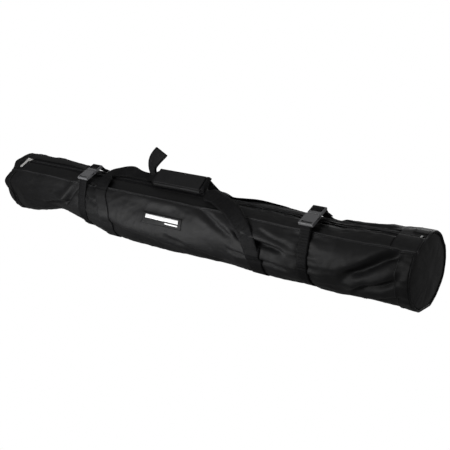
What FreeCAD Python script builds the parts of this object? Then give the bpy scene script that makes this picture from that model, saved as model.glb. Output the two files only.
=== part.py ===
"""Long soft carry case: a cloth tube with a zipped mouth, two compression straps and a wrapped grip.

Frame: X runs along the case, +X towards the end with the open-side cap, -Y is the front, +Z is up,
and the origin is on the floor under the middle of the case. Angles round the tube are measured
from the front (0) over the top (90) to the rear (180). All sizes are in millimetres.
"""
import FreeCAD, Part
import math
import os

# Driving dimensions
LENGTH = 1236.0        # over the piping at both ends
RADIUS = 76.0          # outside of the cloth tube
AXIS_Z = 75.2          # height of the tube's centre line; the floor flattens the underside
CLOTH = 2.0            # face cloth and lining together
STRAP_W = 25.0         # compression strap webbing
STRAP_T = 1.6
HANDLE_W = 38.0        # carry handle webbing
HANDLE_T = 1.8
FAR_STRAP_X = -298.0   # middle of each compression strap
NEAR_STRAP_X = 378.0
FAR_BAND_X = -200.0    # middle of each handle band that runs under the case
NEAR_BAND_X = 258.0
ZIP_ANGLE = 72.0       # the zipper runs straight along the tube here
ZIP_END_X = 560.0      # the mouth flaps stop here; past it the mouth is sewn shut
SLIDER_REST_X = -572.0
FAR_STOP_X = -583.0      # inner faces of the two metal stops
NEAR_STOP_X = 605.0
STOP_L = 3.5
BUCKLE_ANGLE = 62.0

# Sizes worked out from them
HALF = LENGTH / 2.0
PIPING_R = 2.5
PANEL_END = HALF - 2.0 * PIPING_R - 0.2
LIFT = 0.4             # how far webbing stands off the cloth
FLOOR_GAP = 0.3        # webbing under the case stays this far above the floor
RECESS = 2.6           # depth of the hollow in the underside where webbing crosses it
FRONT_HINGE = 40.3     # fold lines of the mouth flaps
REAR_HINGE = 103.7
BASE_EDGE = 55.0       # the base panel reaches this far below the horizontal on both sides
FAR_SIDE, NEAR_SIDE = -1.0, 1.0

V = FreeCAD.Vector
X_AXIS = V(1, 0, 0)


def box(x0, x1, y0, y1, z0, z1):
    return Part.makeBox(x1 - x0, y1 - y0, z1 - z0, V(x0, y0, z0))


def ring_point(angle, r, x=0.0):
    """Point at an angle round the tube, r from its centre line."""
    a = math.radians(angle)
    return V(x, -r * math.cos(a), AXIS_Z + r * math.sin(a))


def sector(r_in, r_out, a0, a1, x0, x1):
    """Curved plate between two radii and two angles, from x0 to x1."""
    mid = (a0 + a1) / 2.0
    edges = [Part.Arc(ring_point(a0, r_out, x0), ring_point(mid, r_out, x0), ring_point(a1, r_out, x0)).toShape(),
             Part.makeLine(ring_point(a1, r_out, x0), ring_point(a1, r_in, x0)),
             Part.Arc(ring_point(a1, r_in, x0), ring_point(mid, r_in, x0), ring_point(a0, r_in, x0)).toShape(),
             Part.makeLine(ring_point(a0, r_in, x0), ring_point(a0, r_out, x0))]
    return Part.Face(Part.Wire(edges)).extrude(V(x1 - x0, 0, 0))


def drum(r, x0, x1, floor):
    """Solid round bar along the tube with its underside cut flat at a height."""
    bar = Part.makeCylinder(r, x1 - x0, V(x0, 0, AXIS_Z), X_AXIS)
    return bar.common(box(x0 - 1, x1 + 1, -2 * r, 2 * r, floor, AXIS_Z + 2 * r))


def laid(shape, angle, x=0.0):
    """Lay a piece on the tube: its X stays, its Y goes round the tube and its Z points outwards."""
    shape = shape.copy()
    shape.rotate(V(0, 0, 0), X_AXIS, 90.0 - angle)
    shape.translate(V(x, 0, AXIS_Z))
    return shape


def band_through(p1, p2, p3, thickness, x0, x1):
    """Webbing whose inner face is the arc through three ring points (angle, radius)."""
    inner = Part.Arc(*[ring_point(a, r, x0) for a, r in (p1, p2, p3)])
    centre = inner.toShape().Curve.Center
    outer_points = []
    for p in (p1, p2, p3):
        q = ring_point(p[0], p[1], x0)
        outer_points.append(q + (q - centre).normalize() * thickness)
    outer = Part.Arc(*outer_points)
    starts = [ring_point(p[0], p[1], x0) for p in (p1, p3)]
    edges = [inner.toShape(), Part.makeLine(starts[1], outer_points[2]), outer.toShape(),
             Part.makeLine(outer_points[0], starts[0])]
    return Part.Face(Part.Wire(Part.__sortEdges__(edges))).extrude(V(x1 - x0, 0, 0))


def under_band(width, thickness, x, a0, a1):
    """Webbing that runs from the front, under the case, to the rear, pressed flat by the floor."""
    x0, x1 = x - width / 2.0, x + width / 2.0
    outer = drum(RADIUS + LIFT + thickness, x0, x1, FLOOR_GAP)
    inner = drum(RADIUS + LIFT, x0 - 1, x1 + 1, FLOOR_GAP + thickness)
    keep = sector(20.0, RADIUS + 30.0, a0, a1, x0 - 1, x1 + 1)
    return outer.cut(inner).common(keep)


# ---- the cloth tube -------------------------------------------------------------------------

def base_panel():
    """Underside, flat on the floor, with a shallow recess wherever webbing passes under it."""
    outer = drum(RADIUS, -PANEL_END, PANEL_END, 0.0)
    inner = drum(RADIUS - CLOTH, -PANEL_END - 1, PANEL_END + 1, CLOTH)
    places = [(FAR_STRAP_X, STRAP_W), (NEAR_STRAP_X, STRAP_W), (FAR_BAND_X, HANDLE_W), (NEAR_BAND_X, HANDLE_W)]
    for x, width in places:
        reach = width / 2.0 + 1.0
        outer = outer.cut(box(x - reach, x + reach, -RADIUS, RADIUS, -1, RECESS))
        inner = inner.cut(box(x - reach - CLOTH, x + reach + CLOTH, -RADIUS, RADIUS, -1, RECESS + CLOTH))
    keep = sector(20.0, RADIUS + 20.0, -180.0 + BASE_EDGE, -BASE_EDGE, -HALF, HALF)
    return outer.cut(inner).common(keep)


def side_panel(a0, a1):
    return sector(RADIUS - CLOTH, RADIUS, a0, a1, -PANEL_END, PANEL_END)


def mouth_end(side):
    """Cloth that closes the mouth past the flaps, with a slot for the slider's neck."""
    r_in = RADIUS - CLOTH
    slot_half = math.degrees(NECK_SLOT / RADIUS)
    stop_x = FAR_STOP_X if side < 0 else NEAR_STOP_X
    inner_x, slot_x, outer_x = side * (ZIP_END_X + 0.5), stop_x + side, side * PANEL_END
    slot_from, slot_to = sorted((inner_x, slot_x))
    shut_from, shut_to = sorted((slot_x, outer_x))
    front = sector(r_in, RADIUS, FRONT_HINGE - 0.2, ZIP_ANGLE - slot_half, slot_from, slot_to)
    rear = sector(r_in, RADIUS, ZIP_ANGLE + slot_half, REAR_HINGE + 0.2, slot_from, slot_to)
    shut = sector(r_in, RADIUS, FRONT_HINGE - 0.2, REAR_HINGE + 0.2, shut_from, shut_to)
    return shut.fuse([front, rear]).removeSplitter()


def end_cap(side):
    x0, x1 = sorted((side * (HALF - 3.5), side * (HALF - 1.5)))
    return drum(RADIUS - 2 * PIPING_R - 0.2, x0, x1, 5.5)


def piping(side):
    ring = Part.makeTorus(RADIUS - PIPING_R, PIPING_R, V(side * (HALF - PIPING_R), 0, AXIS_Z), X_AXIS)
    return ring.common(box(-HALF - 1, HALF + 1, -RADIUS - 9, RADIUS + 9, 0, 2 * RADIUS + 9))


def stiffener(side):
    x0, x1 = sorted((side * (HALF - 6.0), side * (HALF - 4.0)))
    return drum(RADIUS - 6.5, x0, x1, 6.5)


def seam_binding(side):
    """Tape that binds the raw seam inside the end of the tube."""
    x0, x1 = sorted((side * (HALF - 17.0), side * (HALF - 7.0)))
    outer = drum(RADIUS - 4.2, x0, x1, 3.6)
    return outer.cut(drum(RADIUS - 5.6, x0 - 1, x1 + 1, 5.0))


def blank_label():
    """Plain woven label without any mark, on the front."""
    return sector(RADIUS + 0.05, RADIUS + 0.65, -1.0, 13.0, -60.0, 50.0)


# ---- the zipper -----------------------------------------------------------------------------

COIL_IN, COIL_OUT = 0.9, 3.3       # each coil strip, measured sideways from the zipper's middle
TAPE_W = 13.0
NECK_SLOT = 0.95                   # half the gap that the slider's neck runs in


def side_angle(t):
    return math.degrees(t / RADIUS)


def mouth_flap(a0, a1):
    return sector(RADIUS - CLOTH, RADIUS, a0, a1, -ZIP_END_X, ZIP_END_X)


def tape(sign):
    near, far = side_angle(COIL_OUT + 0.05), side_angle(TAPE_W)
    a0, a1 = sorted((ZIP_ANGLE + sign * near, ZIP_ANGLE + sign * far))
    return sector(RADIUS - 1.0, RADIUS, a0, a1, -ZIP_END_X, ZIP_END_X)


def coil(sign):
    t0, t1 = sorted((sign * COIL_IN, sign * COIL_OUT))
    return laid(box(-ZIP_END_X, ZIP_END_X, t0, t1, RADIUS - 1.6, RADIUS + 0.6), ZIP_ANGLE)


def zip_stop(side):
    stop_x = FAR_STOP_X if side < 0 else NEAR_STOP_X
    x0, x1 = sorted((stop_x, stop_x + side * STOP_L))
    return laid(box(x0, x1, -3.3, 3.3, RADIUS + 0.1, RADIUS + 2.0), ZIP_ANGLE)


SLIDER_L, SLIDER_W = 16.0, 11.0
BAIL_H = RADIUS + 4.6              # height of the bail's bar above the tube's centre line


def slider_body():
    """Two plates joined by the neck that runs in the gap between the coils."""
    h, w = SLIDER_L / 2.0, SLIDER_W / 2.0
    top = box(-h, h, -w, w, RADIUS + 1.0, RADIUS + 2.2)
    top = top.makeFillet(1.5, [e for e in top.Edges if abs(e.tangentAt(e.FirstParameter).z) > 0.9])
    bottom = box(-h, h, -w, w, RADIUS - 3.8, RADIUS - 2.6)
    neck = box(-h, -h + 3.0, -0.5, 0.5, RADIUS - 2.7, RADIUS + 1.1)
    return laid(top.fuse([bottom, neck]).removeSplitter(), ZIP_ANGLE, SLIDER_REST_X)


def slider_bail():
    """Bridge on the slider that carries the pull tab."""
    bar = Part.makeCylinder(0.7, 11.6, V(-5.8, 0, BAIL_H), X_AXIS)
    posts = [box(x0, x0 + 1.6, -1.2, 1.2, RADIUS + 2.2, BAIL_H) for x0 in (-5.8, 4.2)]
    return laid(bar.fuse(posts).removeSplitter(), ZIP_ANGLE, SLIDER_REST_X)


def pull_tab():
    """Tab that swings round the bail and lies down the front of the case."""
    ring = Part.makeCylinder(1.9, 6.0, V(-3.0, 0, 0), X_AXIS)
    stem = box(-3.0, 3.0, -7.0, -1.0, -0.6, 0.6)
    blade = box(-4.5, 4.5, -36.0, -6.0, -0.6, 0.6)
    blade = blade.makeFillet(2.5, [e for e in blade.Edges if abs(e.tangentAt(e.FirstParameter).z) > 0.9])
    tab = ring.fuse([stem, blade]).removeSplitter()
    tab = tab.cut(Part.makeCylinder(0.95, 8.0, V(-4.0, 0, 0), X_AXIS))
    tab = tab.cut(Part.makeCylinder(1.7, 4.0, V(0, -31.5, -2.0), V(0, 0, 1)))
    tab.rotate(V(0, 0, 0), X_AXIS, 15.0)
    tab.translate(V(0, 0, BAIL_H))
    return laid(tab, ZIP_ANGLE, SLIDER_REST_X)


# ---- compression straps and side-release buckles ---------------------------------------------

BUCKLE_H0, BUCKLE_H1 = RADIUS + 8.0, RADIUS + 15.0    # underside and top of the buckle
BUCKLE_W = 34.0
SIDE_LOW, SIDE_REAR = -20.0, 200.0                    # where the sewn-down run meets the free runs


def buckle_angle_of(t, h):
    """Ring coordinates of a point beside the buckle's middle."""
    return BUCKLE_ANGLE + math.degrees(math.atan2(t, h)), math.hypot(t, h)


def strap_base(x):
    return under_band(STRAP_W, STRAP_T, x, SIDE_REAR - 360.0, SIDE_LOW)


def strap_front(x):
    top = buckle_angle_of(-31.6, BUCKLE_H0 + 2.6)
    return band_through(top, (10.0, RADIUS + 4.6), (SIDE_LOW + 0.1, RADIUS + LIFT), STRAP_T,
                        x - STRAP_W / 2.0, x + STRAP_W / 2.0)


def strap_rear(x):
    top = buckle_angle_of(31.6, BUCKLE_H0 + 2.6)
    return band_through(top, (136.0, RADIUS + 8.0), (SIDE_REAR - 0.1, RADIUS + LIFT), STRAP_T,
                        x - STRAP_W / 2.0, x + STRAP_W / 2.0)


def strap_tail(x):
    """Free end of the strap behind the ladder lock, lying on the rear run."""
    top = buckle_angle_of(31.8, BUCKLE_H0 + 5.4)
    return band_through(top, (96.0, RADIUS + 18.4), (110.0, RADIUS + 16.4), STRAP_T,
                        x - STRAP_W / 2.0, x + STRAP_W / 2.0)


def buckle_female(x):
    """Socket half: a flat shell with a mouth at the rear, side windows and a bar for the webbing."""
    w = BUCKLE_W / 2.0
    body = box(-w, w, -31.0, 4.0, BUCKLE_H0, BUCKLE_H1)
    body = body.makeFillet(2.0, [e for e in body.Edges if abs(e.tangentAt(e.FirstParameter).x) > 0.9])
    body = body.cut(box(-14.2, 14.2, -17.0, 5.0, BUCKLE_H0 + 1.4, BUCKLE_H1 - 1.4))
    for side in (-1, 1):
        x0, x1 = sorted((side * 13.0, side * (w + 1)))
        body = body.cut(box(x0, x1, -9.0, -1.5, BUCKLE_H0 + 1.4, BUCKLE_H1 - 1.4))
    body = body.cut(box(-13.0, 13.0, -27.5, -22.0, BUCKLE_H0 - 1, BUCKLE_H1 + 1))
    return laid(body, BUCKLE_ANGLE, x)


def buckle_male(x):
    """Plug half: ladder lock with two webbing slots, a centre guide and sockets for the arms."""
    w = BUCKLE_W / 2.0 - 1.0
    body = box(-w, w, 4.6, 31.0, BUCKLE_H0 + 0.5, BUCKLE_H1 - 0.5)
    body = body.makeFillet(1.8, [e for e in body.Edges if abs(e.tangentAt(e.FirstParameter).x) > 0.9])
    for t0 in (12.0, 21.5):
        body = body.cut(box(-13.0, 13.0, t0, t0 + 4.5, BUCKLE_H0 - 1, BUCKLE_H1 + 1))
    guide = box(-2.5, 2.5, -14.0, 5.0, BUCKLE_H0 + 2.0, BUCKLE_H1 - 2.0)
    return laid(body.fuse(guide).removeSplitter(), BUCKLE_ANGLE, x)


ARM_PIVOT_T = 3.4
ARM_X = 9.0


def buckle_arm(x, side):
    """Springy side arm that a finger presses in to free the buckle."""
    h0, h1 = BUCKLE_H0 + 1.9, BUCKLE_H1 - 1.9
    inner, outer = sorted((side * 7.6, side * 10.4))
    stem = box(inner, outer, -12.0, ARM_PIVOT_T, h0, h1)
    root = Part.makeCylinder(1.4, h1 - h0, V(side * ARM_X, ARM_PIVOT_T - 0.4, h0), V(0, 0, 1))
    k0, k1 = sorted((side * 9.0, side * 14.0))
    knob = box(k0, k1, -8.4, -2.2, h0, h1)
    knob = knob.makeFillet(1.4, [e for e in knob.Edges if abs(e.tangentAt(e.FirstParameter).z) > 0.9])
    return laid(stem.fuse([root, knob]).removeSplitter(), BUCKLE_ANGLE, x)


# ---- carry handles and grip -------------------------------------------------------------------

GRIP_Y, GRIP_Z = -22.0, 167.0
GRIP_TILT = 45.0
GRIP_X0, GRIP_X1 = -75.0, 71.0
GRIP_W, GRIP_T = 44.0, 11.0
WRAP_T = 1.7


def in_grip(shape):
    """Move a piece drawn flat (Y across, Z outwards) to the leaning grip."""
    shape = shape.copy()
    shape.rotate(V(0, 0, 0), X_AXIS, GRIP_TILT)
    shape.translate(V(0, GRIP_Y, GRIP_Z))
    return shape


def flat_tube(width, thickness, x0, x1):
    """Solid with a round-ended flat section."""
    r = thickness / 2.0
    reach = width / 2.0 - r
    bars = [Part.makeCylinder(r, x1 - x0, V(x0, y, 0), X_AXIS) for y in (-reach, reach)]
    return box(x0, x1, -reach, reach, -r, r).fuse(bars).removeSplitter()


def grip_wrap():
    outer = flat_tube(GRIP_W, GRIP_T, GRIP_X0, GRIP_X1)
    inner = flat_tube(GRIP_W - 2 * WRAP_T, GRIP_T - 2 * WRAP_T, GRIP_X0 - 1, GRIP_X1 + 1)
    return in_grip(outer.cut(inner))


def grip_webbing(level):
    """One of the two handle webbings where it passes through the wrap."""
    reach = HANDLE_W / 2.0
    z0, z1 = sorted((level * 0.5, level * (0.5 + HANDLE_T)))
    return in_grip(box(GRIP_X0 - 4.0, GRIP_X1 + 4.0, -reach, reach, z0, z1))


def strip(z0, z1, y0, y1, margin):
    return in_grip(box(GRIP_X0 + margin, GRIP_X1 - margin, y0, y1, z0, z1))


def handle_loop():
    """Bight of slack webbing that stands up beside the grip."""
    low, high = GRIP_Z + 9.5, GRIP_Z + 71.0
    foot = box(GRIP_X0 - 31.0, GRIP_X0 - 4.6, -15.0, 4.0, low, low + 4.0)
    upright = box(GRIP_X0 - 53.0, GRIP_X0 - 23.0, -4.0, 6.0, low, high)
    return foot.fuse(upright).removeSplitter()


def section(x, y, z, width_dir, normal, width):
    """Rectangle of webbing across its run."""
    w = V(*width_dir).normalize() * (width / 2.0)
    n = V(*normal).normalize() * (HANDLE_T / 2.0)
    c = V(x, y, z)
    corners = [c - w - n, c + w - n, c + w + n, c - w + n]
    return Part.makePolygon(corners + [corners[0]])


def ring_section(x, angle, r, turn, side):
    """Webbing section lying on the tube, turned from along the tube (0) to round it (90)."""
    a, q = math.radians(angle), math.radians(turn)
    across = (side * math.sin(q), math.sin(a) * math.cos(q), math.cos(a) * math.cos(q))
    outwards = (0.0, -math.cos(a), math.sin(a))
    p = ring_point(angle, r, x)
    return section(p.x, p.y, p.z, across, outwards, HANDLE_W)


def front_leg(side, anchor_x):
    """Handle webbing from the grip's end, down over the front, to the band under the case."""
    start_x = GRIP_X1 + 5.0 if side > 0 else GRIP_X0 - 5.0
    span = anchor_x - start_x
    sections = [ring_section(start_x + 0.02 * span, 64.0, RADIUS + 18.0, 5.0, side),
                ring_section(start_x + 0.35 * span, 56.0, RADIUS + 15.5, 20.0, side),
                ring_section(start_x + 0.72 * span, 36.0, RADIUS + 10.0, 50.0, side),
                ring_section(start_x + 0.95 * span, 14.0, RADIUS + 4.5, 80.0, side),
                ring_section(anchor_x, 0.5, RADIUS + 2.0, 90.0, side)]
    return Part.makeLoft(sections, True, True)


def rear_leg(side, anchor_x):
    """Handle webbing that arches slackly from the grip's end over the top to the rear band."""
    start_x = GRIP_X1 + 5.0 if side > 0 else GRIP_X0 - 5.0
    span = anchor_x - start_x
    sections = [ring_section(start_x + 0.02 * span, 91.0, RADIUS + 18.0, 5.0, -side),
                ring_section(start_x + 0.40 * span, 102.0, RADIUS + 20.0, 20.0, -side),
                ring_section(start_x + 0.75 * span, 122.0, RADIUS + 16.0, 50.0, -side),
                ring_section(start_x + 0.96 * span, 152.0, RADIUS + 8.0, 82.0, -side),
                ring_section(anchor_x, 179.5, RADIUS + 2.0, 90.0, -side)]
    return Part.makeLoft(sections, True, True)


def handle_band(x):
    return under_band(HANDLE_W, HANDLE_T, x, -180.0, 0.0)


def main():
    os.makedirs("parts", exist_ok=True)
    pieces = {
        "base_panel": base_panel(),
        "front_panel": side_panel(-BASE_EDGE, FRONT_HINGE - 0.3),
        "rear_panel": side_panel(REAR_HINGE + 0.3, 180.0 + BASE_EDGE),
        "blank_label": blank_label(),
        "front_flap": mouth_flap(FRONT_HINGE + 0.9, ZIP_ANGLE - side_angle(TAPE_W + 0.1)),
        "rear_flap": mouth_flap(ZIP_ANGLE + side_angle(TAPE_W + 0.1), REAR_HINGE - 0.9),
        "front_tape": tape(-1), "rear_tape": tape(1),
        "front_coil": coil(-1), "rear_coil": coil(1),
        "slider_body": slider_body(), "slider_bail": slider_bail(), "pull_tab": pull_tab(),
        "grip_wrap": grip_wrap(),
        "grip_webbing_front": grip_webbing(1), "grip_webbing_rear": grip_webbing(-1),
        "loop_strip": strip(GRIP_T / 2.0, GRIP_T / 2.0 + 0.7, -14.0, 10.0, 4.0),
        "hook_strip": strip(GRIP_T / 2.0 + 1.0, GRIP_T / 2.0 + 1.7, -14.0, 10.0, 5.0),
        "wrap_flap": strip(GRIP_T / 2.0 + 1.7, GRIP_T / 2.0 + 3.1, -17.0, 19.5, 1.0),
        "handle_loop": handle_loop(),
        "front_leg_far": front_leg(FAR_SIDE, FAR_BAND_X), "front_leg_near": front_leg(NEAR_SIDE, NEAR_BAND_X),
        "rear_leg_far": rear_leg(FAR_SIDE, FAR_BAND_X), "rear_leg_near": rear_leg(NEAR_SIDE, NEAR_BAND_X),
        "handle_band_far": handle_band(FAR_BAND_X), "handle_band_near": handle_band(NEAR_BAND_X),
    }
    for name, side, strap_x in (("far", FAR_SIDE, FAR_STRAP_X), ("near", NEAR_SIDE, NEAR_STRAP_X)):
        pieces[name + "_mouth_end"] = mouth_end(side)
        pieces[name + "_end_cap"] = end_cap(side)
        pieces[name + "_piping"] = piping(side)
        pieces[name + "_stiffener"] = stiffener(side)
        pieces[name + "_seam_binding"] = seam_binding(side)
        pieces[name + "_zip_stop"] = zip_stop(side)
        pieces[name + "_strap_base"] = strap_base(strap_x)
        pieces[name + "_strap_front"] = strap_front(strap_x)
        pieces[name + "_strap_rear"] = strap_rear(strap_x)
        pieces[name + "_strap_tail"] = strap_tail(strap_x)
        pieces[name + "_buckle_female"] = buckle_female(strap_x)
        pieces[name + "_buckle_male"] = buckle_male(strap_x)
        pieces[name + "_buckle_arm_left"] = buckle_arm(strap_x, -1)
        pieces[name + "_buckle_arm_right"] = buckle_arm(strap_x, 1)
    for name, shape in pieces.items():
        shape.exportStep(os.path.join("parts", name + ".step"))
        print(name, len(shape.Solids), shape.isValid(), round(shape.Volume, 1))
    print(len(pieces), "pieces")


main()
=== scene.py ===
# %% [markdown]
# # A long soft carry case
# This lesson dresses a plain engineering model of a carry case in cloth, webbing and metal. The plain
# model fixes every size and every moving part; here each soft block is replaced by a piece that looks
# sewn. We work in metres, but small sewn sizes read better in millimetres, so MM turns one into the other.

# %% Load the frame
import math
import bmesh
import bpy
from mathutils import Matrix, Vector, noise


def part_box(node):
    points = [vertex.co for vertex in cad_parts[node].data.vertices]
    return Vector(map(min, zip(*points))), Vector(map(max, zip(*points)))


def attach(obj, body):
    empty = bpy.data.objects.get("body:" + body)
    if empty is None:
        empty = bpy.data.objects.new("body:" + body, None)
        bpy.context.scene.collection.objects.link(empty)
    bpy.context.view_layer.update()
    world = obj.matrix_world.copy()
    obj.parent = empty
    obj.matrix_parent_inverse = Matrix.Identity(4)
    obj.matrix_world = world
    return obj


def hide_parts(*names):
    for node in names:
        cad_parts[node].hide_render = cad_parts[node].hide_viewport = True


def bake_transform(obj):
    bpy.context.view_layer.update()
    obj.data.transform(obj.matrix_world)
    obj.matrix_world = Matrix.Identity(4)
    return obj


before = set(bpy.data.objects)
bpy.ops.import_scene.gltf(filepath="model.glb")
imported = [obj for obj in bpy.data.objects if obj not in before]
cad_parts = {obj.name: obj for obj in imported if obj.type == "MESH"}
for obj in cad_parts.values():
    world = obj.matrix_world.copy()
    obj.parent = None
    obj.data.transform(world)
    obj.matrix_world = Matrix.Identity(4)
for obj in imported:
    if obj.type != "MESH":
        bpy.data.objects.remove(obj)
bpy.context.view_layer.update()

MM = 0.001

# %% [markdown]
# The piping at the two ends gives the tube's radius and the height of its centre line. Straps and
# handle bands are read from their boxes in the same way, so nothing here repeats a size by hand.

# %% Read the sizes of the tube
near_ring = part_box("near_piping")
HALF = near_ring[1][0] / MM
RADIUS = (near_ring[1][1] - near_ring[0][1]) / 2 / MM
AXIS_Z = near_ring[1][2] / MM - RADIUS


def middle_x(node):
    low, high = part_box(node)
    return (low[0] + high[0]) / 2 / MM


STRAP_X = {"far": middle_x("far_strap_base"), "near": middle_x("near_strap_base")}
BAND_X = {"far": middle_x("handle_band_far"), "near": middle_x("handle_band_near")}
FLAP_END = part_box("front_flap")[1][0] / MM
# Degrees round the tube: 0 faces the front, 90 is the top and 180 the rear.
FRONT_HINGE, REAR_HINGE, ZIP_ANGLE = 40.3, 103.7, 72.0
print("radius", round(RADIUS, 1), "axis height", round(AXIS_Z, 1), "straps", STRAP_X, "bands", BAND_X)

# %% [markdown]
# ## Camera and studio
# The camera looks slightly down along the case from the near end. It could be aimed with a constraint;
# a written place and direction are plainer, and a small roll sets the case a little out of level.

# %% Camera
CAMERA_AT = Vector((1.14048, -1.30726, 0.48786))
CAMERA_FORWARD = Vector((-0.597964, 0.765006, -0.239176)).normalized()
CAMERA_ROLL = math.radians(2.06)
camera_data = bpy.data.cameras.new("case_camera")
camera_data.lens = 58.94
camera_data.sensor_width = 36.0
camera = bpy.data.objects.new("case_camera", camera_data)
bpy.context.scene.collection.objects.link(camera)
right = CAMERA_FORWARD.cross(Vector((0, 0, 1))).normalized()
up = right.cross(CAMERA_FORWARD)
turned_right = right * math.cos(CAMERA_ROLL) + up * math.sin(CAMERA_ROLL)
turned_up = up * math.cos(CAMERA_ROLL) - right * math.sin(CAMERA_ROLL)
pose = Matrix((turned_right, turned_up, -CAMERA_FORWARD)).transposed().to_4x4()
camera.matrix_world = Matrix.Translation(CAMERA_AT) @ pose
bpy.context.scene.camera = camera
print("camera at", [round(v, 2) for v in CAMERA_AT], "with a lens of", round(camera_data.lens, 1), "mm")


# %% [markdown]
# Black cloth shows its shape only by what it reflects. One hard lamp would leave it a silhouette, so
# large soft lights stand round the case, and one lies on the floor to catch the folds from below.


# %% Lights
def soft_light(name, place, aim, size, power):
    data = bpy.data.lights.new(name, "AREA")
    data.shape = "RECTANGLE"
    data.size, data.size_y = size
    data.energy = power
    lamp = bpy.data.objects.new(name, data)
    bpy.context.scene.collection.objects.link(lamp)
    lamp.location = place
    lamp.visible_camera = False
    lamp.rotation_euler = (Vector(aim) - Vector(place)).to_track_quat("-Z", "Y").to_euler()
    return lamp


soft_light("overhead_softbox", (-0.4, 0.1, 2.3), (0, 0, 0.05), (2.2, 0.7), 6)
soft_light("front_softbox", (-1.0, -1.9, 1.0), (-0.25, 0, 0.05), (1.2, 0.6), 8)
soft_light("low_softbox", (-0.3, -0.9, 0.12), (-0.1, 0, 0.03), (0.4, 0.15), 3.4)
soft_light("floor_glow", (-0.06, -0.36, 0.004), (-0.06, -0.36, 1.0), (0.75, 0.42), 2.8)
soft_light("end_softbox", (2.6, -0.9, 0.9), (0.5, 0, 0.08), (0.7, 0.7), 5)
soft_light("rear_softbox", (0.4, 2.6, 1.4), (0, 0, 0.08), (2.2, 1.0), 40)
world = bpy.data.worlds.new("pale_room")
world.use_nodes = True
world.node_tree.nodes["Background"].inputs["Color"].default_value = (1.0, 1.0, 1.0, 1.0)
world.node_tree.nodes["Background"].inputs["Strength"].default_value = 0.2
bpy.context.scene.world = world
bpy.context.scene.view_settings.view_transform = "Standard"
print("lights:", sorted(lamp.name for lamp in bpy.data.lights))


# %% [markdown]
# The studio is a floor and a round wall. Both are stage pieces, so they are never part of the case.


# %% Floor and wall
def new_piece(name, bm):
    mesh = bpy.data.meshes.new(name)
    bm.to_mesh(mesh)
    bm.free()
    piece = bpy.data.objects.new(name, mesh)
    bpy.context.scene.collection.objects.link(piece)
    return piece


WALL_R, WALL_HIGH = 8.0, 4.0
bm = bmesh.new()
bmesh.ops.create_grid(bm, x_segments=1, y_segments=1, size=WALL_R + 1.0)
studio_floor = new_piece("studio_floor", bm)
bm = bmesh.new()
bmesh.ops.create_cone(bm, cap_ends=False, segments=64, radius1=WALL_R, radius2=WALL_R, depth=WALL_HIGH)
for vert in bm.verts:
    vert.co.z += WALL_HIGH / 2
studio_wall = new_piece("studio_wall", bm)
print("studio wall", WALL_R, "m out and", WALL_HIGH, "m high")

# %% [markdown]
# ## Finishes
# Every finish is a small node tree. A helper keeps the wiring short: it adds a node, fills its sockets
# and joins it to what it reads. Weaves read the piece's own UV map, which is laid out in centimetres.


# %% Node helpers
def new_material(name, color, roughness, metallic=0.0):
    mat = bpy.data.materials.new(name)
    mat.use_nodes = True
    shader = mat.node_tree.nodes["Principled BSDF"]
    shader.inputs["Base Color"].default_value = (*color, 1.0)
    shader.inputs["Roughness"].default_value = roughness
    shader.inputs["Metallic"].default_value = metallic
    return mat, mat.node_tree, shader


def add(tree, kind, **settings):
    node = tree.nodes.new(kind)
    for key, value in settings.items():
        if key in node.inputs:
            node.inputs[key].default_value = value
        else:
            setattr(node, key, value)
    return node


def link(tree, source, out, target, socket):
    tree.links.new(source.outputs[out], target.inputs[socket])


def coordinates(tree, kind, scale):
    """UV or Object coordinates through a Mapping node."""
    coord = add(tree, "ShaderNodeTexCoord")
    mapping = add(tree, "ShaderNodeMapping")
    mapping.inputs["Scale"].default_value = scale
    link(tree, coord, kind, mapping, "Vector")
    return mapping


def patchy_color(tree, shader, place, dark, light, scale):
    """Slow colour change over the piece, as dye and dust give cloth."""
    spots = add(tree, "ShaderNodeTexNoise", Scale=scale, Detail=5.0, Roughness=0.6)
    ramp = add(tree, "ShaderNodeValToRGB")
    ramp.color_ramp.elements[0].position = 0.3
    ramp.color_ramp.elements[1].position = 0.72
    ramp.color_ramp.elements[0].color = (*dark, 1.0)
    ramp.color_ramp.elements[1].color = (*light, 1.0)
    link(tree, place, "Vector", spots, "Vector")
    link(tree, spots, "Fac", ramp, "Fac")
    link(tree, ramp, "Color", shader, "Base Color")
    return spots


def bump(tree, shader, height_node, out, strength, distance, below=None):
    node = add(tree, "ShaderNodeBump", Strength=strength, Distance=distance)
    link(tree, height_node, out, node, "Height")
    if below is not None:
        link(tree, below, "Normal", node, "Normal")
    link(tree, node, "Normal", shader, "Normal")
    return node


def vary_gloss(tree, shader, marks, low, high):
    """Roughness that follows a noise between two limits."""
    gloss = add(tree, "ShaderNodeMapRange")
    gloss.inputs["To Min"].default_value = low
    gloss.inputs["To Max"].default_value = high
    link(tree, marks, "Fac", gloss, "Value")
    link(tree, gloss, "Result", shader, "Roughness")


def bands(tree, place, direction, scale, distortion=0.0):
    node = add(tree, "ShaderNodeTexWave", Scale=scale, Distortion=distortion)
    node.wave_type = "BANDS"
    node.bands_direction = direction
    link(tree, place, "Vector", node, "Vector")
    return node


print("helpers for coordinates, slow colour, bump and woven bands")
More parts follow.
